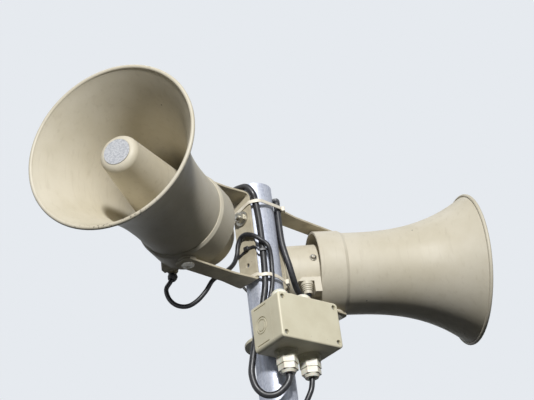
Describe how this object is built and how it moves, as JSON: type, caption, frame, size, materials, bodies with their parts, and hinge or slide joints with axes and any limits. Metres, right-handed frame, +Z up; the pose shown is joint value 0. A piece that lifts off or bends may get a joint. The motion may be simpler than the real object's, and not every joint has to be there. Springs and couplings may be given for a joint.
{
  "type": "pole-top siren horn pair",
  "caption": "Top of a public warning mast: re-entrant siren horns on swivelling U-brackets, junction box and leads on a steel pipe.",
  "frame": {"origin": "centre of the mast pipe's plain lower end", "axes": "+Z up along the mast; the picture looks along +Y, from below; +X is to the picture's right"},
  "size_m": [0.5637, 0.5574, 0.7735],
  "materials": {
    "galvanised_steel": "dull galvanised, spangled",
    "beige_paint": "satin beige paint, weathered",
    "horn_plastic": "satin beige plastic, weathered",
    "box_plastic": "satin pale beige plastic",
    "white_nylon": "white nylon, slightly yellowed",
    "black_nylon": "black nylon",
    "black_jacket": "black cable jacket, satin",
    "steel": "dull zinc-plated steel",
    "plate_metal": "mottled bare aluminium"
  },
  "bodies": {
    "mast": {"mast_pipe": "galvanised_steel", "left_bracket": "beige_paint", "right_bracket": "beige_paint", "bracket_bolt": "steel", "box_collar": "box_plastic", "box_body": "box_plastic", "box_lid": "box_plastic", "box_lid_screws": "steel", "box_gland_left": "white_nylon", "box_gland_right": "white_nylon", "box_top_plugs": "white_nylon", "upper_tie": "white_nylon", "lower_tie": "white_nylon", "black_tie": "black_nylon", "left_lead": "black_jacket", "right_lead": "black_jacket", "supply_lead": "black_jacket"},
    "left_horn": {"left_bell": "beige_paint", "left_rear_ring": "horn_plastic", "left_sound_tube": "horn_plastic", "left_reflector": "horn_plastic", "left_cap_plate": "plate_metal", "left_driver_housing": "horn_plastic", "left_terminal_box": "horn_plastic", "left_lead_gland": "horn_plastic", "left_pivot_bolts": "steel"},
    "right_horn": {"right_bell": "beige_paint", "right_rear_ring": "horn_plastic", "right_sound_tube": "horn_plastic", "right_reflector": "horn_plastic", "right_cap_plate": "plate_metal", "right_driver_housing": "horn_plastic", "right_terminal_box": "horn_plastic", "right_lead_gland": "horn_plastic", "right_pivot_bolts": "steel"}
  },
  "joints": [
    {"name": "left_pan", "type": "hinge", "parent": "mast", "child": "left_horn", "pos_m": [-0.09086, -0.09575, 0.667], "axis": [0, 0, 1], "range_deg": [-104, 55], "deforming": ["left_lead"]},
    {"name": "right_pan", "type": "hinge", "parent": "mast", "child": "right_horn", "pos_m": [0.09086, 0.09575, 0.66], "axis": [0, 0, 1], "range_deg": [-44, 115], "deforming": ["right_lead"]}
  ]
}
